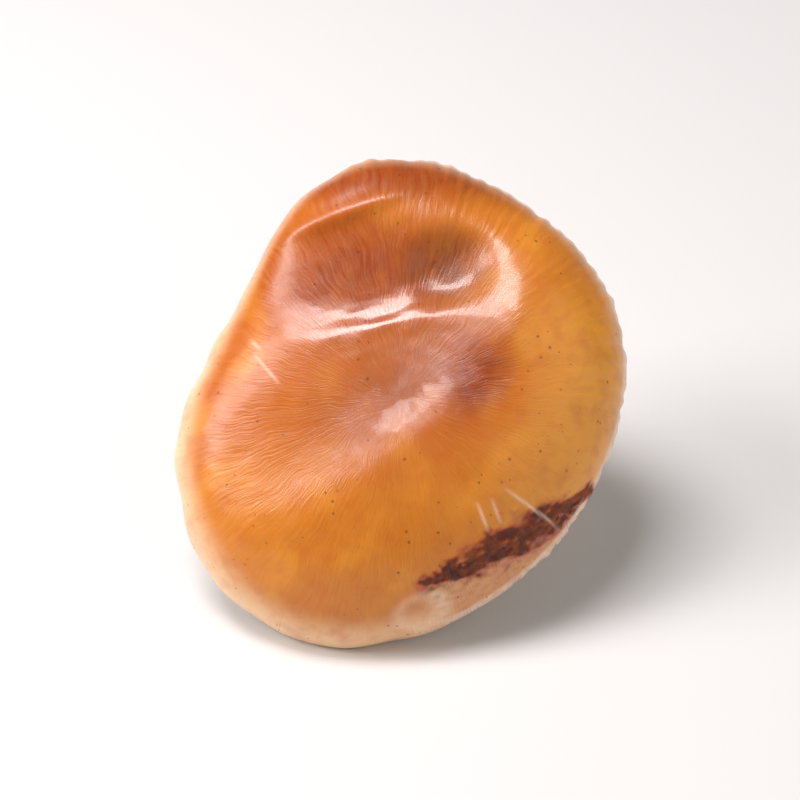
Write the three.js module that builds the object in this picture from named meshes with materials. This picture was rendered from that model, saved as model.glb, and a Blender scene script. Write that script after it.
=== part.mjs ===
// A picked honey-capped mushroom, lying as one comes to rest: on the rim of its cap and on the cut
// end of its stem, with the crown of the cap facing forward and up.
// Millimetres, +Z up. The origin is on the table, under the middle of the mushroom's box.
//
// The pieces are shaped in the mushroom's own frame, where the stem runs along Z, the crown is at +Z,
// z = 0 is the plane of the rim, and -Y is the side that the mushroom lies on. One group leans that
// frame over.
import * as THREE from "three";

// ---- Driving dimensions ----
const CAP_RADIUS = 30.9; // mean radius of the cap seen from its crown
const CAP_NARROWEST = 26; // its radius where its outline is nearest to the stem
const CROWN_HEIGHT = 14.5; // rim plane to the crown, before its hollows
const LEAN = THREE.MathUtils.degToRad(45); // of the stem from upright
const PRESS = 0.5; // how far the soft flesh flattens where it rests
const GAP = 0.3; // between the faces of neighbouring pieces

// Low swells of the cap's outline: the number of waves round the rim, their height as a share of the
// radius, and the angle of one crest in degrees.
const OUTLINE_SWELLS = [
  { waves: 2, height: 0.102, crest: 60 },
  { waves: 3, height: 0.04, crest: 104 },
  { waves: 4, height: 0.018, crest: 14 },
  { waves: 5, height: 0.012, crest: 31 },
];

// Curve of the crown from its middle to its rim. It is fuller on the rolled side than on the spread
// one, and squarest towards one angle in degrees.
const FULLNESS = 1.75;
const FULLNESS_SWING = 0.35;
const SQUARENESS = 3.2;
const SQUARENESS_SWING = 0.9;
const SQUAREST_ANGLE = 60;

// The slump: one side of the crown has sunk by a share of its height. Its place is given as for the
// hollows pressed in the crown: centre, half length, half width, turn of the long side in degrees, and
// steepness of the walls.
const SLUMP = { x: -6.2, y: 11.6, long: 32, wide: 15.2, turn: 46, steepness: 3 };
const SLUMP_SHARE = 0.24;
const CROWN_HOLLOWS = [
  { x: -6, y: 16.6, long: 12, wide: 8, turn: 9, steepness: 1.6, depth: 1.9 },
  { x: -5, y: 14, long: 9, wide: 4.5, turn: 9, steepness: 1.5, depth: 0.3 },
  { x: 6.8, y: 17.6, long: 5.6, wide: 4.8, turn: 25, steepness: 1.7, depth: 1.6 },
  { x: 10.4, y: 2.6, long: 5.2, wide: 4.2, turn: 55, steepness: 1.3, depth: 1 },
];

// Margin of the cap: the rolled lip, and the ceiling that the gills hang from.
const LIP_THICKNESS = 2.4;
const LIP_SHARE = 0.93; // the lip's inner edge, as a share of the cap's radius
const CEILING_HEIGHT = 6.6; // at the stem, above the rim plane
const CEILING_EDGE = 0.5; // at the lip
const RIM_LIFT = 1.8; // how much higher the rim is on its spread side, +X, and lower on the other

// Gills: blades hung from the ceiling, from the stem to the lip. A blade is deepest near its middle,
// shallow at the lip, and runs a little way down at the stem.
const GILL_BLADES = 36;
const GILL_DEPTH = 4.4;
const GILL_RING = 0.8; // thickness of the ring that joins the blades
const GILL_LIP_SHARE = 0.25; // depths as shares of the full depth
const GILL_STEM_SHARE = 0.35;
const GILL_SKEW = 0.8; // below 1, a blade is deepest nearer to the stem

// Stem: its radii, where its cut end lies, and the rounded edge of the cut.
const STEM_TOP_RADIUS = 7.2;
const STEM_WAIST_RADIUS = 4.5;
const STEM_END_RADIUS = 5.8;
const STEM_END_ROUND = 1.3;
const STEM_LENGTH = 26.5; // rim plane to the cut
const STEM_SWAY = 5.5; // sideways bend of the cut end, towards +X
const STEM_SAG = -1.9; // bend of the cut end towards the table

// Mesh fineness
const CAP_SEGMENTS = 64;
const CROWN_STEPS = 14;
const LIP_STEPS = 6;
const CEILING_STEPS = 6;
const GILL_ROWS = 6;
const GILL_COLUMNS = 4; // per blade: two on its edge, two in the valley beside it
const STEM_SEGMENTS = 28;
const STEM_STEPS = 14;

// ---- Shape of the cap ----

// Radius of the cap's outline at an angle round the stem.
function outlineRadius(angle) {
  let share = 1;
  for (const { waves, height, crest } of OUTLINE_SWELLS) {
    share += height * Math.cos(waves * (angle - THREE.MathUtils.degToRad(crest)));
  }
  return CAP_RADIUS * share;
}

// How far down in a hollow a point of the cap is, from 0 outside it to 1 on its floor.
function hollow(spot, x, y) {
  const turn = THREE.MathUtils.degToRad(spot.turn);
  const dx = x - spot.x;
  const dy = y - spot.y;
  const along = (dx * Math.cos(turn) + dy * Math.sin(turn)) / spot.long;
  const across = (dy * Math.cos(turn) - dx * Math.sin(turn)) / spot.wide;
  return Math.exp(-Math.pow(along * along + across * across, spot.steepness));
}

// Rise of the cap on its spread side. It grows towards the rim.
function rimLift(share, angle) {
  return RIM_LIFT * Math.pow(share, 3) * Math.cos(angle);
}

// Height of the crown over the rim plane at a share of the cap's radius, with its slump and hollows.
function crownHeight(share, angle) {
  const fullness = FULLNESS - FULLNESS_SWING * Math.cos(angle);
  const offSquarest = angle - THREE.MathUtils.degToRad(SQUAREST_ANGLE);
  const squareness = SQUARENESS + SQUARENESS_SWING * Math.cos(offSquarest);
  const radius = share * outlineRadius(angle);
  const x = radius * Math.cos(angle);
  const y = radius * Math.sin(angle);
  let height = CROWN_HEIGHT * Math.pow(1 - Math.pow(share, squareness), 1 / fullness);
  height *= 1 - SLUMP_SHARE * hollow(SLUMP, x, y);
  for (const spot of CROWN_HOLLOWS) height -= spot.depth * hollow(spot, x, y);
  return height;
}

function ceilingHeight(share) {
  const bow = 1 - Math.pow(share / LIP_SHARE, 2);
  return CEILING_EDGE + (CEILING_HEIGHT - CEILING_EDGE) * bow;
}

// Revolves one row of points round Z for each of the rows. A row's spot(angle) gives the radius and
// the height of its point at that angle, and can shift it sideways by x and y.
function lathe(rows, segments) {
  const profile = rows.map((row, i) => new THREE.Vector2(row.onAxis ? 0 : 1, i));
  const geometry = new THREE.LatheGeometry(profile, segments);
  const position = geometry.getAttribute("position");
  for (let i = 0; i < position.count; i++) {
    const row = rows[i % rows.length];
    const angle = (2 * Math.PI * (Math.floor(i / rows.length) % segments)) / segments;
    const { radius, height, x = 0, y = 0 } = row.spot(angle);
    position.setXYZ(i, x + radius * Math.cos(angle), y + radius * Math.sin(angle), height);
  }
  return geometry;
}

// The cap: the flesh over the gills, the rolled lip, and the skin over the crown.
function capGeometry() {
  const rows = [];
  for (let i = 0; i < CEILING_STEPS; i++) {
    const share = (LIP_SHARE * i) / CEILING_STEPS;
    rows.push({ share, height: () => ceilingHeight(share) });
  }
  const lipCentre = (1 + LIP_SHARE) / 2;
  const lipReach = (1 - LIP_SHARE) / 2;
  for (let i = 0; i < LIP_STEPS; i++) {
    const turn = (Math.PI * i) / LIP_STEPS;
    const start = CEILING_EDGE * (1 - i / LIP_STEPS);
    const share = lipCentre - lipReach * Math.cos(turn);
    rows.push({ share, height: () => start - (LIP_THICKNESS / 2) * Math.sin(turn) });
  }
  for (let i = CROWN_STEPS; i >= 0; i--) {
    const share = Math.sin(((Math.PI / 2) * i) / CROWN_STEPS);
    rows.push({ share, height: (angle) => crownHeight(share, angle) });
  }
  return lathe(
    rows.map(({ share, height }) => ({
      onAxis: share === 0,
      spot: (angle) => ({
        radius: share * outlineRadius(angle),
        height: height(angle) + rimLift(share, angle),
      }),
    })),
    CAP_SEGMENTS,
  );
}

// ---- Shape of the gills ----

// Depth of a blade at a share of the way from the stem to the lip, as a share of the full depth.
function gillReach(along) {
  const belly = (1 - GILL_LIP_SHARE) * Math.sin(Math.PI * Math.pow(along, GILL_SKEW));
  return GILL_LIP_SHARE + belly + GILL_STEM_SHARE * Math.pow(1 - along, 3);
}

// The gills: a thin ring under the ceiling, with blades that stand down from it round the stem.
function gillGeometry() {
  const inner = STEM_TOP_RADIUS + GAP;
  const pitch = (2 * Math.PI) / GILL_BLADES;
  function row(along, underside) {
    return {
      onAxis: false,
      spot: (angle) => {
        const outer = LIP_SHARE * outlineRadius(angle) - 2 * GAP;
        const radius = inner + along * (outer - inner);
        const share = radius / outlineRadius(angle);
        const column = Math.round((angle / pitch) * GILL_COLUMNS) % GILL_COLUMNS;
        const onBlade = column < GILL_COLUMNS / 2;
        const blade = onBlade ? GILL_DEPTH * gillReach(along) : 0;
        const depth = underside ? Math.max(GILL_RING, blade) : 0;
        return { radius, height: ceilingHeight(share) - GAP - depth + rimLift(share, angle) };
      },
    };
  }
  const rows = [];
  for (let i = 0; i <= GILL_ROWS; i++) rows.push(row(i / GILL_ROWS, true));
  for (let i = GILL_ROWS; i >= 0; i--) rows.push(row(i / GILL_ROWS, false));
  rows.push(rows[0]);
  return lathe(rows, GILL_BLADES * GILL_COLUMNS);
}

// ---- Shape of the stem ----

// Radius of the stem at a share of the way down it: flared at the cap, waisted, fuller at the cut.
function stemRadius(down) {
  const flare = (STEM_TOP_RADIUS - STEM_WAIST_RADIUS) * Math.pow(1 - down, 4);
  const foot = (STEM_END_RADIUS - STEM_WAIST_RADIUS) * Math.pow(down, 4);
  return STEM_WAIST_RADIUS + flare + foot;
}

// The stem, from its cut end up to the cap.
function stemGeometry() {
  const top = ceilingHeight(STEM_TOP_RADIUS / CAP_NARROWEST) - GAP;
  const length = top + STEM_LENGTH;
  function row(down, inset = 0) {
    const radius = Math.max(stemRadius(down) - inset, 0);
    const bend = Math.pow(down, 2);
    const place = { radius, height: top - length * down, x: STEM_SWAY * bend, y: STEM_SAG * bend };
    return { onAxis: radius === 0, spot: () => place };
  }
  const roundDown = 1 - STEM_END_ROUND / length;
  const rows = [row(1, Infinity), row(1, STEM_END_ROUND)];
  for (let i = 0; i <= STEM_STEPS; i++) rows.push(row(roundDown * (1 - i / STEM_STEPS)));
  rows.push(row(0, Infinity));
  return lathe(rows, STEM_SEGMENTS);
}

// ---- Resting on the table ----

const leaning = new THREE.Group();
leaning.rotation.x = LEAN;

// The table's upward normal, seen in the mushroom's own frame.
const tableUp = new THREE.Vector3(0, 0, 1).applyEuler(new THREE.Euler(-LEAN, 0, 0));

// Height of a geometry's lowest point above the own frame's origin, measured along the table's normal.
function lowestHeight(geometry) {
  const position = geometry.getAttribute("position");
  let lowest = Infinity;
  for (let i = 0; i < position.count; i++) {
    lowest = Math.min(lowest, new THREE.Vector3().fromBufferAttribute(position, i).dot(tableUp));
  }
  return lowest;
}

// Flattens what reaches below the table's surface onto it.
function pressOnTable(geometry, tableHeight) {
  const position = geometry.getAttribute("position");
  for (let i = 0; i < position.count; i++) {
    const point = new THREE.Vector3().fromBufferAttribute(position, i);
    const below = tableHeight - point.dot(tableUp);
    if (below > 0) {
      point.addScaledVector(tableUp, below);
      position.setXYZ(i, point.x, point.y, point.z);
    }
  }
}

function addPiece(name, geometry, colour, roughness) {
  geometry.computeVertexNormals();
  const material = new THREE.MeshStandardMaterial({ color: colour, roughness, metalness: 0 });
  const mesh = new THREE.Mesh(geometry, material);
  mesh.name = name;
  leaning.add(mesh);
}

const cap = capGeometry();
const gills = gillGeometry();
const stem = stemGeometry();
const tableHeight = lowestHeight(cap) + PRESS;
for (const geometry of [cap, gills, stem]) pressOnTable(geometry, tableHeight);

addPiece("cap", cap, 0xc87a32, 0.35);
addPiece("gills", gills, 0xf3dcc2, 0.75);
addPiece("stem", stem, 0xf8e6d2, 0.65);

// The middle of the box goes over the origin, and the pressed flats onto z = 0.
const mushroom = new THREE.Group();
mushroom.add(leaning);
const box = new THREE.Box3().setFromObject(mushroom, true);
const middle = box.getCenter(new THREE.Vector3());
leaning.position.set(-middle.x, -middle.y, -tableHeight);

export default mushroom;
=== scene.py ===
"""The looks of a picked amber-capped mushroom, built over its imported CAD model.

The shapes are worked out in the mushroom's own frame, in millimetres: the stem runs along z, the crown
is at +z, z = 0 is the plane of the rim, and -y is the side that the mushroom lies on. Each piece is then
leaned over and set down where the CAD cap stands, in metres.
"""
import math

import bpy
import numpy as np
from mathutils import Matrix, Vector


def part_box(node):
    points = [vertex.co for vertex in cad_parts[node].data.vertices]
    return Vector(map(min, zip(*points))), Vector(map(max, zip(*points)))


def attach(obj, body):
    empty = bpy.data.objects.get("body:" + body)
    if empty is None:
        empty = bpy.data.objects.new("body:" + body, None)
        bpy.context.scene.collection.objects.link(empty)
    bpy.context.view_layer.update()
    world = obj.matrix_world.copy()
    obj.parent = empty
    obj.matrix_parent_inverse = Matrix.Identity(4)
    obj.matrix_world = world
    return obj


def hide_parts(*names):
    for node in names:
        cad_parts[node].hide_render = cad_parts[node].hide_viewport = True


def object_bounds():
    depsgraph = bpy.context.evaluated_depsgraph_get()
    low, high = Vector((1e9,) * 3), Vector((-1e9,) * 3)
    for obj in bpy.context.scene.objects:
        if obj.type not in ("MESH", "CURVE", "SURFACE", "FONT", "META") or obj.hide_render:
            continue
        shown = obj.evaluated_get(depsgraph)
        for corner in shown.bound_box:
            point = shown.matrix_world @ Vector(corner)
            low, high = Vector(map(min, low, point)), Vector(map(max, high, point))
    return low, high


# ---- Driving dimensions, in millimetres ----
MM = 0.001  # metres
CAP_RADIUS = 30.9
CAP_NARROWEST = 26.0
CROWN_HEIGHT = 14.5  # from the rim plane, before it slumped
LEAN = math.radians(45)
PRESS = 0.5  # how far the soft flesh flattens where it rests
LIP_THICKNESS = 2.4
LIP_SHARE = 0.93  # the lip's inner edge, as a share of the cap's radius
CEILING_HEIGHT = 6.6
CEILING_EDGE = 0.5
RIM_LIFT = 1.8
GILL_DEPTH = 4.4
GILL_RING = 0.8
STEM_TOP_RADIUS = 7.2
STEM_WAIST_RADIUS = 4.5
STEM_END_RADIUS = 5.8
STEM_END_ROUND = 1.3
STEM_LENGTH = 26.5
STEM_SWAY = 5.5
STEM_SAG = -1.9
STEM_SOCKET = 0.08  # share of the stem that stands between the gills
GAP = 0.3

# Swells of the cap's outline: waves round the rim, height as a share of the radius, crest in degrees.
OUTLINE_SWELLS = ((2, 0.102, 60), (3, 0.04, 104), (4, 0.018, 14), (5, 0.012, 31))

# Curve of the crown from its middle to its rim. It is fuller on the rolled side than on the spread one,
# and squarest towards one angle.
FULLNESS = 1.75
FULLNESS_SWING = 0.35
SQUARENESS = 3.2
SQUARENESS_SWING = 0.9
SQUAREST_ANGLE = math.radians(60)

# Hollows of the crown: x, y, half length, half width, turn in degrees, depth, steepness of the walls.
SHELF_HOLLOW = (-5.0, 14.0, 9.0, 4.5, 9, 0.3, 1.5)
MAIN_HOLLOW = (-6.0, 16.6, 12.0, 8.0, 9, 1.9, 1.6)
CORNER_HOLLOW = (6.8, 17.6, 5.6, 4.8, 25, 1.6, 1.7)
SIDE_HOLLOW = (10.4, 2.6, 5.2, 4.2, 55, 1.0, 1.3)
HOLLOWS = (SHELF_HOLLOW, MAIN_HOLLOW, CORNER_HOLLOW, SIDE_HOLLOW)

# The slump: one side of the crown has sunk, by a share of its height that stands in the depth's place.
SLUMP = (-6.2, 11.6, 32.0, 15.2, 46, 0.24, 3.0)

# A patch of darker skin round the hollows, given like a hollow, but with no depth.
DARK_CENTRE = (1.0, 6.0, 19.0, 11.0, 48, 0.0, 1.2)

# Folds of the crown: start, end, half width, height.
FOLDS = (
    ((-17.0, 22.0), (1.0, 28.0), 1.3, 0.6),  # over the main hollow
    ((-12.0, 8.0), (8.0, 12.0), 1.5, 0.26),  # its lower lip
)

# Low waves of the skin: size and height.
BROAD_WAVES = (9.0, 0.05)
SMALL_WAVES = (3.0, 0.015)

# Wrinkles that run along the main hollow's lower lip: their turn, how many times longer than wide they
# are, their width and height, and the place that they cover as start, end, half width.
WRINKLE_TURN = math.radians(14)
WRINKLE_STRETCH = 5.0
WRINKLE_SIZE = (1.4, 0.022)
WRINKLE_PLACE = ((-13.0, 8.5), (9.0, 13.0), 4.5)

# Where the skin is wettest, as start, end, half width: the lip, and a band across the crown.
WET_LIP = ((-12.0, 8.5), (4.0, 11.7), 3.0)
WET_BAND = ((-9.0, -8.0), (15.0, 14.0), 4.5)

# The tear in the margin: its skin ends along a line from start to end.
TEAR_START = (2.6, -24.6)
TEAR_END = (26.8, -11.4)

# A blister of skin at the tear's near end: x, y, half length, half width, turn in degrees, rise, steepness.
BLISTER = (3.0, -27.9, 3.7, 2.3, 22, 0.35, 2.2)

# Fine scars in the skin: start, end.
SCARS = (
    ((13.7, -11.8), (21.4, -16.9)),
    ((10.1, -13.7), (11.6, -17.3)),
    ((12.0, -13.2), (13.2, -16.2)),
    ((-19.3, 6.3), (-15.9, 2.2)),
    ((-19.8, 8.2), (-18.4, 6.9)),
)

# ---- Mesh fineness ----
CAP_COLUMNS = 512
CROWN_ROWS = 150
LIP_ROWS = 16
CEILING_ROWS = 8
GILL_ROWS = 42
GILL_COLUMNS = 5  # across the pitch of the shortest gills
STEM_COLUMNS = 200
STEM_ROWS = 150
END_ROWS = 8
CUT_ROWS = 16

# Gills: how many reach from the stem to the lip, and each order's count for each of those, where it
# starts on the way to the lip, and its height over the valleys as a share of the full gills' height.
FULL_GILLS = 90
GILL_ORDERS = ((1, -1.0, 1.0), (2, 0.3, 0.9), (4, 0.58, 0.75))
GILL_VALLEY = 1.4  # depth of the valleys between the gills, in millimetres


# ---- Small helpers on numbers and arrays ----


def smooth(low, high, value):
    """0 below low, 1 above high, and a smooth rise between them."""
    t = np.clip((value - low) / (high - low), 0.0, 1.0)
    return t * t * (3.0 - 2.0 * t)


def ripples(x, y, size, seed, waves=24):
    """Smooth noise of about -1 to 1 over a plane, with features of about the given size."""
    rng = np.random.default_rng(seed)
    total = np.zeros_like(x)
    for _ in range(waves):
        heading = rng.uniform(0.0, 2.0 * math.pi)
        pace = 2.0 * math.pi / (size * rng.uniform(0.7, 1.6))
        along = x * math.cos(heading) + y * math.sin(heading)
        total += np.sin(along * pace + rng.uniform(0.0, 2.0 * math.pi))
    return total / math.sqrt(waves)


def round_ripples(angle, share, count, seed, waves=16):
    """Noise round the rim, with about count features on the way round, that changes slowly inwards."""
    rng = np.random.default_rng(seed)
    total = np.zeros_like(angle)
    for _ in range(waves):
        turns = round(count * rng.uniform(0.6, 1.5))
        drift = rng.uniform(-6.0, 6.0)
        total += np.sin(angle * turns + share * drift + rng.uniform(0.0, 2.0 * math.pi))
    return total / math.sqrt(waves)


# ---- Shape of the cap ----


def outline_radius(angle):
    share = 1.0
    for waves, height, crest in OUTLINE_SWELLS:
        share = share + height * np.cos(waves * (angle - math.radians(crest)))
    return CAP_RADIUS * share


def hollow(spot, x, y):
    """How far down in a hollow a point is, from 0 outside it to 1 on its floor."""
    centre_x, centre_y, long, wide, turn, _, steepness = spot
    turn = math.radians(turn)
    along = ((x - centre_x) * math.cos(turn) + (y - centre_y) * math.sin(turn)) / long
    across = ((y - centre_y) * math.cos(turn) - (x - centre_x) * math.sin(turn)) / wide
    return np.exp(-((along**2 + across**2) ** steepness))


def fold(start, end, half_width, x, y):
    """A ridge of height 1 along a segment."""
    run_x = end[0] - start[0]
    run_y = end[1] - start[1]
    t = ((x - start[0]) * run_x + (y - start[1]) * run_y) / (run_x**2 + run_y**2)
    t = np.clip(t, 0.0, 1.0)
    away = np.hypot(x - start[0] - t * run_x, y - start[1] - t * run_y)
    return np.exp(-((away / half_width) ** 2)) * np.sin(math.pi * np.clip(0.1 + 0.8 * t, 0, 1))


def down_the_side(y, z):
    """A coordinate that runs on down the steep side of the cap, where y alone stands still."""
    return 0.7 * (y + z)


def past_tear(x, y, side):
    """How far outside the torn skin's edge a point is, how much of the tear there is at that point, and
    how near that is to the tear's middle. side is its place down the cap's side."""
    run = np.array(TEAR_END) - np.array(TEAR_START)
    length = np.hypot(*run)
    along = ((x - TEAR_START[0]) * run[0] + (y - TEAR_START[1]) * run[1]) / length**2
    outside = ((x - TEAR_START[0]) * run[1] - (y - TEAR_START[1]) * run[0]) / length
    ragged = 0.4 * ripples(x, side, 3.5, seed=5) + 0.2 * ripples(x, side, 1.1, seed=6)
    middle = np.sin(math.pi * np.clip(along, 0.0, 1.0))
    held = smooth(-0.04, 0.06, along) * (1.0 - smooth(0.94, 1.04, along))
    return outside - 0.5 * middle + ragged, held, middle


def crust_band(outside, middle):
    """The bruised crust along the torn edge: 1 at its middle line, and widest halfway along."""
    return np.exp(-((outside / (0.9 + 1.1 * middle**2)) ** 2))


def rim_lift(share, angle):
    return RIM_LIFT * share**3 * np.cos(angle)


def crown_height(share, angle):
    """Height of the skin over the rim plane, with its hollows, folds, wrinkles and tear."""
    fullness = FULLNESS - FULLNESS_SWING * np.cos(angle)
    squareness = SQUARENESS + SQUARENESS_SWING * np.cos(angle - SQUAREST_ANGLE)
    radius = share * outline_radius(angle)
    x = radius * np.cos(angle)
    y = radius * np.sin(angle)
    height = CROWN_HEIGHT * (1.0 - np.minimum(share, 1.0) ** squareness) ** (1.0 / fullness)
    height = height * (1.0 - SLUMP[5] * hollow(SLUMP, x, y))
    for spot in HOLLOWS:
        height = height - spot[5] * hollow(spot, x, y)
    for start, end, half_width, rise in FOLDS:
        height = height + rise * fold(start, end, half_width, x, y)
    height = height + BROAD_WAVES[1] * ripples(x, y, BROAD_WAVES[0], seed=1) * (1.0 - share**4)
    height = height + SMALL_WAVES[1] * ripples(x, y, SMALL_WAVES[0], seed=2)
    return height + skin_relief(x, y, height, share, angle)


def skin_relief(x, y, z, share, angle):
    """The fine relief: lines at the spread margin, wrinkles at the hollow's lip, the tear, scars and the
    blister."""
    spread = smooth(0.0, 0.7, np.cos(angle - math.radians(15)))
    striae = 0.05 * round_ripples(angle, share, 110, seed=3) * smooth(0.62, 0.95, share) * spread
    along = (x * math.cos(WRINKLE_TURN) + y * math.sin(WRINKLE_TURN)) / WRINKLE_STRETCH
    across = y * math.cos(WRINKLE_TURN) - x * math.sin(WRINKLE_TURN)
    wrinkles = WRINKLE_SIZE[1] * ripples(along, across, WRINKLE_SIZE[0], seed=4)
    wrinkles = wrinkles * fold(*WRINKLE_PLACE, x, y)
    side = down_the_side(y, z)
    outside, held, middle = past_tear(x, y, side)
    crust = crust_band(outside, middle) * (0.1 + 0.15 * ripples(x, side, 1.4, seed=7))
    flesh = -0.55 * smooth(-0.2, 0.5, outside) + 0.12 * ripples(x, side, 1.6, seed=8)
    edge = 0.45 * smooth(0.93, 0.985, share)
    bared = smooth(0.0, 0.4, outside) * (1.0 - smooth(0.985, 1.0, share))
    torn = held * (crust + bared * (flesh + edge))
    scars = 0.06 * sum(fold(start, end, 0.25, x, y) for start, end in SCARS)
    return striae + wrinkles + torn + scars + BLISTER[5] * hollow(BLISTER, x, y)


def ceiling_height(share):
    return CEILING_EDGE + (CEILING_HEIGHT - CEILING_EDGE) * (1.0 - (share / LIP_SHARE) ** 2)


def rim_notches(share, angle):
    """How far the margin is notched in or out, as a share of the radius."""
    spread = smooth(-0.2, 0.5, np.cos(angle - math.radians(20)))
    fine = 0.0035 * round_ripples(angle, 0.0, 70, seed=11)
    broad = 0.006 * round_ripples(angle, 0.0, 16, seed=12)
    return (fine * spread + broad) * smooth(0.85, 1.0, share)


def cap_rings():
    """The cap's points as rings from the crown's middle, over the lip, to the ceiling's middle."""
    angle = np.linspace(0.0, 2.0 * math.pi, CAP_COLUMNS, endpoint=False)
    rings = []

    def add(share, height):
        spread = share * (1.0 + rim_notches(share, angle))
        radius = spread * outline_radius(angle)
        z = height + rim_lift(share, angle)
        rings.append(np.stack([radius * np.cos(angle), radius * np.sin(angle), z], axis=1))

    for row in range(CROWN_ROWS + 1):
        turn = 0.5 * math.pi * row / CROWN_ROWS
        # Even steps at first, then closer where the skin turns down to the rim.
        share = 0.45 * math.sin(turn) + 0.55 * (row / CROWN_ROWS)
        add(share, crown_height(np.full_like(angle, share), angle))
    for row in range(1, LIP_ROWS + 1):
        turn = math.pi * row / LIP_ROWS
        share = (1.0 + LIP_SHARE) / 2 + (1.0 - LIP_SHARE) / 2 * math.cos(turn)
        drop = CEILING_EDGE * row / LIP_ROWS - LIP_THICKNESS / 2 * math.sin(turn)
        add(share, np.full_like(angle, drop))
    for row in range(1, CEILING_ROWS + 1):
        share = LIP_SHARE * (1.0 - row / CEILING_ROWS)
        add(share, np.full_like(angle, ceiling_height(share)))
    return np.array(rings)


# ---- Shape of the gills ----


def gill_reach(along):
    """Depth of a gill from the stem, 0, to the lip, 1, as a share of the full depth."""
    return 0.25 + 0.75 * np.sin(math.pi * along**0.8) + 0.35 * (1.0 - along) ** 3


def blade(distance):
    """The cross-section of one gill: 1 on its blade and 0 in the valley beside it."""
    return 1.0 - smooth(0.11, 0.24, np.abs(distance))


def gill_rings():
    """The gills' points as rings: out along the top of the ring that joins them, and back below."""
    columns = FULL_GILLS * GILL_ORDERS[-1][0] * GILL_COLUMNS
    angle = np.linspace(0.0, 2.0 * math.pi, columns, endpoint=False)
    inner = STEM_TOP_RADIUS + GAP / 2
    outer = LIP_SHARE * outline_radius(angle) - GAP / 2
    rings = []

    def add(along, depth):
        radius = inner + along * (outer - inner)
        share = radius / outline_radius(angle)
        sway = 0.22 * ripples(radius * np.cos(angle), radius * np.sin(angle), 11.0, seed=21)
        turned = angle + sway * smooth(0.0, 0.3, along) / radius
        z = ceiling_height(share) - GAP - depth + rim_lift(share, angle)
        rings.append(np.stack([radius * np.cos(turned), radius * np.sin(turned), z], axis=1))

    for along in (0.0, 0.5, 1.0):
        add(along, np.zeros_like(angle))
    for row in range(GILL_ROWS, -1, -1):
        along = row / GILL_ROWS
        radius = inner + along * (outer - inner)
        standing = np.zeros_like(angle)
        for per_full, start, reach in GILL_ORDERS:
            pitch = 2.0 * math.pi / (FULL_GILLS * per_full)
            off_centre = (angle / pitch - np.round(angle / pitch)) * pitch * radius
            grown = smooth(start, start + 0.12, along)
            standing = np.maximum(standing, reach * grown * blade(off_centre))
        uneven = 1.0 + 0.08 * ripples(radius * np.cos(angle), radius * np.sin(angle), 5.0, seed=22)
        full = GILL_DEPTH * gill_reach(along) * uneven
        add(along, np.maximum(full - GILL_VALLEY * (1.0 - standing), GILL_RING))
    return np.array(rings)


# ---- Shape of the stem ----


def stem_radius(down):
    """Radius at a share of the way down: full as far as the gills reach, then waisted, then fuller."""
    below_gills = max(down - STEM_SOCKET, 0.0) / (1.0 - STEM_SOCKET)
    flare = (STEM_TOP_RADIUS - STEM_WAIST_RADIUS) * (1.0 - below_gills) ** 4
    foot = (STEM_END_RADIUS - STEM_WAIST_RADIUS) * down**4
    return STEM_WAIST_RADIUS + flare + foot


def stem_rings():
    """The stem's points as rings from the cap down to its cut end."""
    angle = np.linspace(0.0, 2.0 * math.pi, STEM_COLUMNS, endpoint=False)
    top = ceiling_height(STEM_TOP_RADIUS / CAP_NARROWEST) - GAP
    length = top + STEM_LENGTH
    round_down = 1.0 - STEM_END_ROUND / length
    rings = []

    def add(down, radius):
        fibres = 0.05 * round_ripples(angle, 3.0 * down, 26, seed=31)
        fibres = fibres + 0.02 * round_ripples(angle, 3.0 * down, 70, seed=32)
        lumps = 0.16 * round_ripples(angle, 2.0 * down, 3, seed=33) * smooth(0.0, 0.3, down)
        knobs = 0.2 * round_ripples(angle, 4.0 * down, 9, seed=34) * smooth(0.86, 1.0, down)
        radius = radius * (1.0 + (fibres + lumps + knobs) / STEM_WAIST_RADIUS)
        x = STEM_SWAY * down**2 + radius * np.cos(angle)
        y = STEM_SAG * down**2 + radius * np.sin(angle)
        rings.append(np.stack([x, y, np.full_like(angle, top - length * down)], axis=1))

    for step in range(4):
        add(0.0, stem_radius(0.0) * step / 4)
    for row in range(STEM_ROWS + 1):
        down = round_down * row / STEM_ROWS
        add(down, stem_radius(down))
    for step in range(1, END_ROWS + 1):
        turn = 0.5 * math.pi * step / END_ROWS
        down = round_down + (1.0 - round_down) * math.sin(turn)
        add(down, stem_radius(1.0) - STEM_END_ROUND * (1.0 - math.cos(turn)))
    for step in range(1, CUT_ROWS + 1):
        add(1.0, (stem_radius(1.0) - STEM_END_ROUND) * (1.0 - step / CUT_ROWS))
    return np.array(rings)


# ---- Meshes ----


def leaned(points):
    """Points of the own frame in millimetres, leaned over, in metres."""
    x, y, z = points[..., 0], points[..., 1], points[..., 2]
    cos, sin = math.cos(LEAN), math.sin(LEAN)
    return np.stack([x, y * cos - z * sin, y * sin + z * cos], axis=-1) * MM


def set_down(points, place):
    """World points of own points, put at place, with what reaches below the table pressed onto it."""
    world = leaned(points) + place
    world[..., 2] = np.maximum(world[..., 2], 0.0)
    return world


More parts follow.
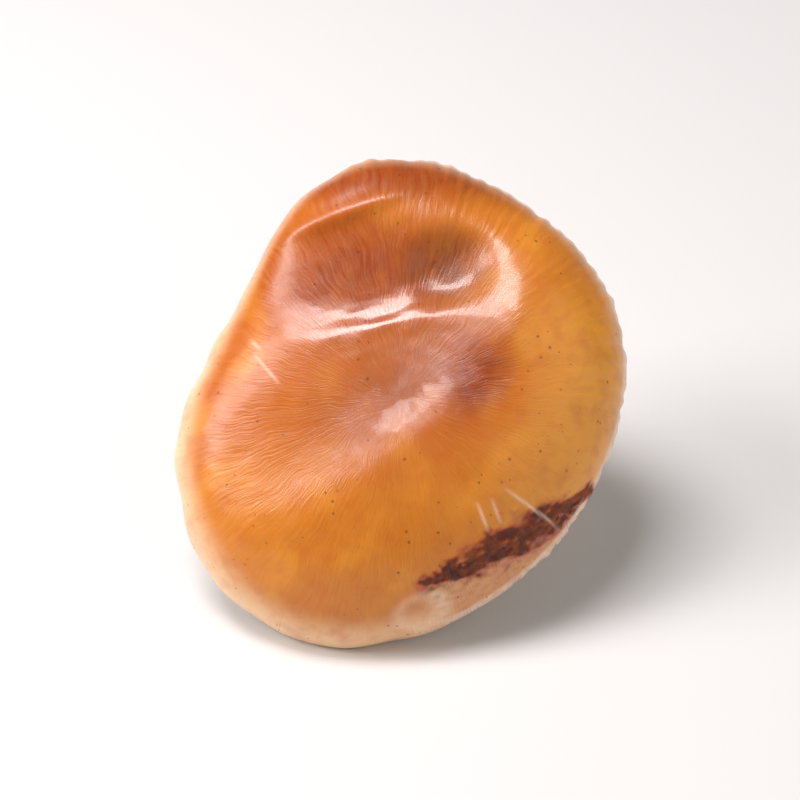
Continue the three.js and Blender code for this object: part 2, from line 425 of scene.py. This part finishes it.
def ring_faces(rings, columns, closes):
    """Faces, and their UV corners, over rings of points. Either the last ring joins the first, or the
    first and last rings are single points."""
    faces = []
    uvs = []
    steps = rings if closes else rings - 1

    def corner(row, column):
        if closes:
            return (row % rings) * columns + column % columns
        if row == 0:
            return 0
        if row == rings - 1:
            return (rings - 2) * columns + 1
        return 1 + (row - 1) * columns + column % columns

    for row in range(steps):
        for column in range(columns):
            spots = [(row, column), (row + 1, column), (row + 1, column + 1), (row, column + 1)]
            if not closes and row == 0:
                spots.pop()
            if not closes and row == steps - 1:
                spots.pop(2)
            faces.append([corner(*spot) for spot in spots])
            for spot_row, spot_column in spots:
                uvs.extend((spot_column / columns, spot_row / steps))
    return faces, uvs


def shell(name, rings, place, closes=False):
    """A closed piece over rings of own points. It keeps its own points in the attribute own, in
    millimetres, so that its materials can follow how it grew."""
    ring_count, columns, _ = rings.shape
    points = rings.reshape(-1, 3)
    if not closes:
        points = np.concatenate([rings[0, :1], rings[1:-1].reshape(-1, 3), rings[-1, :1]])
    faces, uvs = ring_faces(ring_count, columns, closes)
    mesh = bpy.data.meshes.new(name)
    mesh.from_pydata(set_down(points, place).tolist(), [], faces)
    mesh.uv_layers.new(name="OFBake").data.foreach_set("uv", uvs)
    mesh.polygons.foreach_set("use_smooth", [True] * len(faces))
    own = mesh.attributes.new("own", "FLOAT_VECTOR", "POINT")
    own.data.foreach_set("vector", points.ravel())
    piece = bpy.data.objects.new(name, mesh)
    bpy.context.scene.collection.objects.link(piece)
    return piece, points


def paint(piece, name, values):
    """Keeps one number or one colour for each of the piece's points."""
    if values.ndim == 1:
        layer = piece.data.attributes.new(name, "FLOAT", "POINT")
        layer.data.foreach_set("value", values)
        return
    layer = piece.data.attributes.new(name, "FLOAT_COLOR", "POINT")
    opaque = np.concatenate([values, np.ones((len(values), 1))], axis=1)
    layer.data.foreach_set("color", opaque.ravel())


# ---- Colours of the cap, as linear RGB ----
AMBER = (0.50, 0.115, 0.004)
# Honey yellow: the spread margin's own tone, and also painted light on the lower half.
HONEY = (0.80, 0.32, 0.02)
# Painted shade: the amber darkened where shade falls, in the main hollow and along the top margin.
PAINTED_SHADE = (0.24, 0.024, 0.002)
# Painted shade for the main hollow's right corner.
CORNER_SHADE = (0.09, 0.006, 0.001)
# Painted shade for the dimple beside the band.
DIMPLE_SHADE = (0.20, 0.014, 0.001)
MAUVE = (0.32, 0.085, 0.035)
# The margin's own cream colour, also used as painted reflection on the rolled side.
PALE_RIM_AND_REFLECTION = (0.86, 0.56, 0.32)
EDGE_LINE = (0.90, 0.66, 0.50)
BRUISE_EDGE = (0.46, 0.06, 0.008)
BRUISE = (0.10, 0.004, 0.002)
BLACK_PURPLE = (0.035, 0.003, 0.006)
SCAR = (0.95, 0.80, 0.66)
FLESH = (0.62, 0.26, 0.08)
FILM = (0.72, 0.40, 0.19)
UNDERSIDE = (0.90, 0.68, 0.47)
STREAK = (0.85, 0.36, 0.06)
MOTTLE = (0.5, 0.11, 0.006)
SPECK = (0.12, 0.025, 0.006)

# ---- Colours of the gills and the stem ----
GILL_CREAM = (0.94, 0.83, 0.71)
GILL_WARM = (0.93, 0.73, 0.54)
GILL_STREAK = (0.96, 0.90, 0.80)
STEM_CREAM = (0.95, 0.84, 0.69)
STEM_WARM = (0.92, 0.71, 0.46)
STEM_FIBRE = (0.88, 0.64, 0.40)
STEM_CUT = (0.96, 0.90, 0.80)

SKIN_WET = 0.12  # how wet the plain skin is, from 0 for the dry crust to 1 for standing water


def blend(colours, colour, amount):
    """Each row of colours, moved towards colour by its amount."""
    return colours + (np.array(colour) - colours) * np.clip(amount, 0.0, 1.0)[:, None]


def skin_colours(x, y, share, angle):
    """The colour of the whole skin, with painted shade in its hollows and towards the top margin, painted
    light on its lower half, and its paler rim, partly painted reflection on the rolled side.
    """
    colours = np.tile(np.array(AMBER), (len(x), 1))
    spread = smooth(-0.1, 0.9, np.cos(angle - math.radians(15)))
    # Yellower towards the spread margin: partly the skin's own tone, partly painted light from the right,
    # with less of it towards the top.
    margin_tone_and_light = smooth(0.3, 0.85, share) * (1.0 - 0.6 * smooth(6.0, 20.0, y))
    colours = blend(colours, HONEY, margin_tone_and_light * spread)
    # Painted light: lighter towards the bottom.
    colours = blend(colours, HONEY, 0.35 * smooth(0.0, -16.0, y))
    colours = blend(colours, HONEY, 0.35 * smooth(0.0, 1.5, ripples(x, y, 8.0, seed=41)))
    # Painted shade in the main hollow.
    colours = blend(colours, PAINTED_SHADE, 0.85 * hollow(MAIN_HOLLOW, x, y))
    # Painted shade in the hollow's right corner.
    colours = blend(colours, CORNER_SHADE, 0.8 * hollow(CORNER_HOLLOW, x, y))
    colours = blend(colours, MAUVE, 0.4 * hollow(DARK_CENTRE, x, y) + 0.6 * fold(*WET_BAND, x, y))
    # Painted shade in the dimple.
    colours = blend(colours, DIMPLE_SHADE, 0.95 * hollow(SIDE_HOLLOW, x, y))
    # Painted shade: darker towards the top margin.
    colours = blend(colours, PAINTED_SHADE, 0.8 * smooth(24.0, 30.0, y))
    # Paler rim: the margin's own cream, wider and stronger on the rolled lower-left side as painted
    # reflection.
    rolled = smooth(-0.3, 0.8, np.cos(angle - math.radians(225)))
    at_rim = smooth(0.93 - 0.07 * rolled, 1.0, share)
    colours = blend(colours, PALE_RIM_AND_REFLECTION, (0.55 + 0.45 * rolled) * at_rim)
    return blend(colours, EDGE_LINE, 0.9 * smooth(0.975, 0.99, share) * spread)


def tear_colours(colours, x, y, side, share):
    """The colours with those of the tear laid over them, and how torn and how bruised each point is."""
    outside, held, middle = past_tear(x, y, side)
    torn = held * smooth(-0.2, 0.4, outside)
    film = held * (1.0 - smooth(4.0, 9.0, x)) * smooth(1.0, 2.0, outside)
    crust = held * crust_band(outside, middle)
    patchy = 0.7 * ripples(x, side, 3.2, seed=42) + 0.4 * ripples(x, side, 1.2, seed=44)
    bruised = crust * (1.0 + 0.5 * patchy)
    blackened = crust * smooth(-0.2, 0.8, ripples(x, side, 2.2, seed=43))
    colours = blend(colours, FLESH, torn)
    colours = blend(colours, FILM, film)
    colours = blend(colours, BRUISE_EDGE, 0.9 * smooth(0.03, 0.35, bruised))
    colours = blend(colours, BRUISE, smooth(0.25, 0.7, bruised))
    colours = blend(colours, BLACK_PURPLE, blackened)
    colours = blend(colours, EDGE_LINE, torn * smooth(0.965, 0.985, share))
    return colours, torn, bruised


def wetness(x, y, torn, bruised):
    """How wet each point is: most on the main hollow's lip, and not at all on the crust."""
    lip = fold(*WET_LIP, x, y)
    band = fold(*WET_BAND, x, y)
    pool = hollow(CORNER_HOLLOW, x, y)
    blister = hollow(BLISTER, x, y)
    wet = SKIN_WET + 0.65 * lip + 0.2 * pool + 0.3 * band + 0.4 * torn + 0.6 * blister
    return np.clip(wet, 0.0, 1.0) * (1.0 - smooth(0.2, 0.6, bruised))


def cap_paint(points):
    """The colour of each point of the cap, and how wet it is."""
    x, y, z = points.T
    angle = np.arctan2(y, x)
    share = np.hypot(x, y) / outline_radius(angle)
    above_rim = z - rim_lift(share, angle)
    side = down_the_side(y, above_rim)
    colours = skin_colours(x, y, share, angle)
    colours, torn, bruised = tear_colours(colours, x, y, side, share)
    for start, end in SCARS:
        colours = blend(colours, SCAR, 0.6 * fold(start, end, 0.18, x, y))
    blister = hollow(BLISTER, x, y)
    colours = blend(colours, FILM, 0.2 * blister)
    colours = blend(colours, EDGE_LINE, 1.2 * blister * (1.0 - blister))
    under = smooth(0.2, -0.6, above_rim) * smooth(0.85, 0.9, share)
    colours = blend(colours, UNDERSIDE, under)
    return colours, wetness(x, y, torn, bruised)


# ---- Materials ----


def new_material(name):
    """A material, its node tree's nodes and links, and its Principled shader."""
    material = bpy.data.materials.new(name)
    material.use_nodes = True
    tree = material.node_tree
    return material, tree, tree.nodes["Principled BSDF"]


def add_node(tree, kind, inputs=None, **settings):
    """A node with its settings, and with each input set to a value or linked from an output."""
    made = tree.nodes.new(kind)
    for name, value in settings.items():
        setattr(made, name, value)
    for name, value in (inputs or {}).items():
        if isinstance(value, bpy.types.NodeSocket):
            tree.links.new(value, made.inputs[name])
        else:
            made.inputs[name].default_value = value
    return made


def attribute(tree, name):
    return add_node(tree, "ShaderNodeAttribute", attribute_name=name)


def noise(tree, vector, scale, detail=3.0):
    found = add_node(
        tree, "ShaderNodeTexNoise", {"Vector": vector, "Scale": scale, "Detail": detail}
    )
    return found.outputs["Fac"]


def ranged(tree, value, low, high, to_low=0.0, to_high=1.0):
    """value moved from the range low..high to the range to_low..to_high, and held inside it."""
    found = add_node(
        tree,
        "ShaderNodeMapRange",
        {"Value": value, "From Min": low, "From Max": high, "To Min": to_low, "To Max": to_high},
    )
    return found.outputs["Result"]


def mixed(tree, amount, first, second):
    """The colour first, moved towards the colour second by amount."""
    factor, start, end = 0, 6, 7  # the Mix node's sockets for colours
    inputs = {factor: amount}
    for socket, colour in ((start, first), (end, second)):
        inputs[socket] = colour if isinstance(colour, bpy.types.NodeSocket) else (*colour, 1.0)
    return add_node(tree, "ShaderNodeMix", inputs, data_type="RGBA").outputs[2]


def worked_out(tree, operation, first, second):
    found = add_node(tree, "ShaderNodeMath", {0: first, 1: second}, operation=operation)
    return found.outputs["Value"]


def vector_math(tree, operation, first, second=None, scale=None):
    inputs = {0: first}
    if second is not None:
        inputs[1] = second
    if scale is not None:
        inputs["Scale"] = scale
    return add_node(tree, "ShaderNodeVectorMath", inputs, operation=operation)


def grain_vector(tree, across, along, stray):
    """Coordinates for fibres that run out from the stem: across them per radian, and along per mm.
    They stray from the straight way by up to about stray mm."""
    own = attribute(tree, "own").outputs["Vector"]
    warp = add_node(tree, "ShaderNodeTexNoise", {"Vector": own, "Scale": 0.16, "Detail": 2.0})
    centred = vector_math(tree, "SUBTRACT", warp.outputs["Color"], (0.5, 0.5, 0.5))
    moved = vector_math(tree, "SCALE", centred.outputs[0], scale=4.0 * stray)
    bent = vector_math(tree, "ADD", own, moved.outputs[0])
    flat = vector_math(tree, "MULTIPLY", bent.outputs[0], (1.0, 1.0, 0.0)).outputs[0]
    unit = vector_math(tree, "NORMALIZE", flat)
    turned = vector_math(tree, "SCALE", unit.outputs[0], scale=across)
    reach = vector_math(tree, "LENGTH", flat).outputs["Value"]
    out = worked_out(tree, "MULTIPLY", reach, along)
    lifted = add_node(tree, "ShaderNodeCombineXYZ", {"Z": out})
    return vector_math(tree, "ADD", turned.outputs[0], lifted.outputs[0]).outputs[0]


def bumped(tree, height, strength, distance, below=None):
    inputs = {"Height": height, "Strength": strength, "Distance": distance * MM}
    if below is not None:
        inputs["Normal"] = below
    return add_node(tree, "ShaderNodeBump", inputs).outputs["Normal"]


def soften(shader, weight, radius, depth):
    """Lets light into the flesh, to a depth in millimetres."""
    shader.inputs["Subsurface Weight"].default_value = weight
    shader.inputs["Subsurface Radius"].default_value = radius
    shader.inputs["Subsurface Scale"].default_value = depth * MM


def speckled(tree, own, colour):
    """The colour with small dark specks of uneven size in about half of the cells."""
    cells = add_node(tree, "ShaderNodeTexVoronoi", {"Vector": own, "Scale": 0.75})
    chance = add_node(tree, "ShaderNodeSeparateColor", {"Color": cells.outputs["Color"]})
    size = ranged(tree, chance.outputs["Green"], 0.2, 1.0, 0.07, 0.24)
    dot = ranged(tree, cells.outputs["Distance"], 0.02, size, 0.9, 0.0)
    chosen = worked_out(tree, "GREATER_THAN", chance.outputs["Red"], 0.5)
    return mixed(tree, worked_out(tree, "MULTIPLY", dot, chosen), colour, SPECK)


def skin_roughness(tree, wet, hairs):
    """Dull on the dry crust, satin on the skin, and glossier where it is wet."""
    dull = ranged(tree, wet, 0.0, SKIN_WET, 0.8, 0.33)
    uneven = ranged(tree, hairs, 0.3, 0.7, -0.06, 0.08)
    glazed = ranged(tree, wet, SKIN_WET, 1.0, 0.0, 0.13)
    return worked_out(tree, "SUBTRACT", worked_out(tree, "ADD", dull, uneven), glazed)


def cap_material():
    material, tree, shader = new_material("cap_skin")
    own = attribute(tree, "own").outputs["Vector"]
    tint_light_and_shade = attribute(tree, "tint_light_and_shade").outputs["Color"]
    wet = attribute(tree, "wet").outputs["Fac"]
    hairs = noise(tree, grain_vector(tree, 62.0, 0.3, 0.7), 1.0, 5.0)
    mottle = noise(tree, own, 0.35, 4.0)
    pores = noise(tree, own, 3.2, 3.0)
    streaked = mixed(tree, ranged(tree, hairs, 0.35, 0.75, 0.0, 0.12), tint_light_and_shade, STREAK)
    mottled = mixed(tree, ranged(tree, mottle, 0.45, 0.7, 0.0, 0.35), streaked, MOTTLE)
    tree.links.new(speckled(tree, own, mottled), shader.inputs["Base Color"])
    tree.links.new(skin_roughness(tree, wet, hairs), shader.inputs["Roughness"])
    tree.links.new(ranged(tree, wet, 0.0, 1.0, 0.0, 0.8), shader.inputs["Coat Weight"])
    shader.inputs["Coat Roughness"].default_value = 0.12
    soften(shader, 0.2, (1.0, 0.35, 0.12), 1.6)
    relief = bumped(tree, pores, 0.15, 0.12)
    relief = bumped(tree, hairs, 0.5, 0.14, relief)
    tree.links.new(relief, shader.inputs["Normal"])
    return material


def gill_material():
    material, tree, shader = new_material("gill_flesh")
    own = attribute(tree, "own").outputs["Vector"]
    mottle = noise(tree, own, 0.25, 4.0)
    streaks = noise(tree, grain_vector(tree, 50.0, 0.3, 0.5), 1.0, 3.0)
    warm = mixed(tree, ranged(tree, mottle, 0.35, 0.7), GILL_CREAM, GILL_WARM)
    tone = mixed(tree, ranged(tree, streaks, 0.4, 0.75, 0.0, 0.4), warm, GILL_STREAK)
    tree.links.new(tone, shader.inputs["Base Color"])
    shader.inputs["Roughness"].default_value = 0.6
    soften(shader, 0.3, (1.0, 0.5, 0.28), 1.5)
    tree.links.new(bumped(tree, streaks, 0.3, 0.1), shader.inputs["Normal"])
    return material


def stem_material():
    """Cream flesh with fibres along it, and a whiter, pithy cut end."""
    material, tree, shader = new_material("stem_flesh")
    own = attribute(tree, "own").outputs["Vector"]
    stretched = vector_math(tree, "MULTIPLY", own, (2.4, 2.4, 0.16))
    fibres = noise(tree, stretched.outputs[0], 1.0, 5.0)
    mottle = noise(tree, own, 0.22, 4.0)
    warm = mixed(tree, ranged(tree, mottle, 0.4, 0.75), STEM_CREAM, STEM_WARM)
    fibrous = mixed(tree, ranged(tree, fibres, 0.45, 0.75, 0.0, 0.3), warm, STEM_FIBRE)
    height = add_node(tree, "ShaderNodeSeparateXYZ", {"Vector": own}).outputs["Z"]
    cut = ranged(tree, height, 3.5 - STEM_LENGTH, 0.8 - STEM_LENGTH)
    tree.links.new(mixed(tree, cut, fibrous, STEM_CUT), shader.inputs["Base Color"])
    shader.inputs["Roughness"].default_value = 0.55
    soften(shader, 0.3, (1.0, 0.55, 0.3), 1.8)
    pith = noise(tree, own, 0.9, 3.0)
    relief = bumped(tree, worked_out(tree, "MULTIPLY", pith, cut), 0.5, 0.4)
    tree.links.new(bumped(tree, fibres, 0.3, 0.12, relief), shader.inputs["Normal"])
    return material


# ---- The mushroom ----


def cap_place(rings):
    """Where the own frame's origin goes, so that the leaned cap fills the CAD cap's box."""
    low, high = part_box("cap")
    world = leaned(rings).reshape(-1, 3)
    shift = (np.array(low) + np.array(high) - world.min(0) - world.max(0)) / 2
    shift[2] = -world[:, 2].min() - PRESS * MM
    return shift


def finish_piece(piece, node, material):
    piece.data.materials.append(material)
    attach(piece, "root")
    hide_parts(node)


def make_mushroom():
    cap_points = cap_rings()
    place = cap_place(cap_points)
    cap, points = shell("mushroom_cap", cap_points, place)
    tint_light_and_shade, wet = cap_paint(points)
    # The tint holds painted shade and painted light as well as the skin's own colours.
    paint(cap, "tint_light_and_shade", tint_light_and_shade)
    paint(cap, "wet", wet)
    finish_piece(cap, "cap", cap_material())
    gills, _ = shell("mushroom_gills", gill_rings(), place, closes=True)
    finish_piece(gills, "gills", gill_material())
    stem, _ = shell("mushroom_stem", stem_rings(), place)
    finish_piece(stem, "stem", stem_material())


# ---- The setting ----


def make_floor():
    bpy.ops.mesh.primitive_plane_add(size=3.0, location=(0, 0, -0.02 * MM))
    floor = bpy.context.object
    floor.name = "floor"
    material, _, shader = new_material("pale_floor")
    shader.inputs["Base Color"].default_value = (0.74, 0.73, 0.72, 1)
    shader.inputs["Roughness"].default_value = 0.7
    floor.data.materials.append(material)


def soft_light(name, azimuth, elevation, distance, size, power, colour, target):
    """An area light in a direction from the target, which it faces. Azimuth 0 is at -Y, 90 at +X."""
    turn, rise = math.radians(azimuth), math.radians(elevation)
    way = Vector((math.sin(turn) * math.cos(rise), -math.cos(turn) * math.cos(rise), math.sin(rise)))
    data = bpy.data.lights.new(name, "AREA")
    data.shape = "RECTANGLE"
    data.size, data.size_y = size
    data.energy = power
    data.color = colour
    light = bpy.data.objects.new(name, data)
    light.location = target + way * distance
    light.rotation_euler = (-way).to_track_quat("-Z", "Y").to_euler()
    bpy.context.scene.collection.objects.link(light)


def make_setting(target):
    make_floor()
    soft_light("window_above", -104, 73, 0.55, (0.16, 0.27), 2.5, (1.0, 0.96, 0.98), target)
    soft_light("window_left", -82, 36, 0.60, (0.20, 0.38), 2.65, (1.0, 0.97, 0.96), target)
    soft_light("fill_right", 60, 26, 0.80, (1.0, 1.0), 2.4, (1.0, 0.95, 0.90), target)
    world = bpy.data.worlds.new("pale_room")
    world.use_nodes = True
    sky = world.node_tree.nodes["Background"]
    sky.inputs["Color"].default_value = (1.0, 0.98, 0.97, 1)
    sky.inputs["Strength"].default_value = 0.2
    bpy.context.scene.world = world


def make_camera(target):
    """A long lens at the height from which a bowl on a table is looked into."""
    elevation = math.radians(40)
    way = Vector((0.0, -math.cos(elevation), math.sin(elevation)))
    data = bpy.data.cameras.new("camera")
    data.lens = 110
    camera = bpy.data.objects.new("camera", data)
    camera.location = target + way * 0.33
    camera.rotation_euler = (-way).to_track_quat("-Z", "Y").to_euler()
    bpy.context.scene.collection.objects.link(camera)
    bpy.context.scene.camera = camera


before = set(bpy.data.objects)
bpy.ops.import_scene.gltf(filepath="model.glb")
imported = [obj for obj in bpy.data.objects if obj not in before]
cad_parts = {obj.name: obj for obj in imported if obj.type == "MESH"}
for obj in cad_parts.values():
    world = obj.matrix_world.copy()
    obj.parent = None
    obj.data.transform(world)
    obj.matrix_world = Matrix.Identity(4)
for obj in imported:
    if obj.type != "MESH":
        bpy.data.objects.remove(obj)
CAD_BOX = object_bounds()
make_mushroom()
middle = (CAD_BOX[0] + CAD_BOX[1]) / 2
make_setting(middle)
make_camera(middle)
bpy.context.scene.view_settings.view_transform = "Standard"
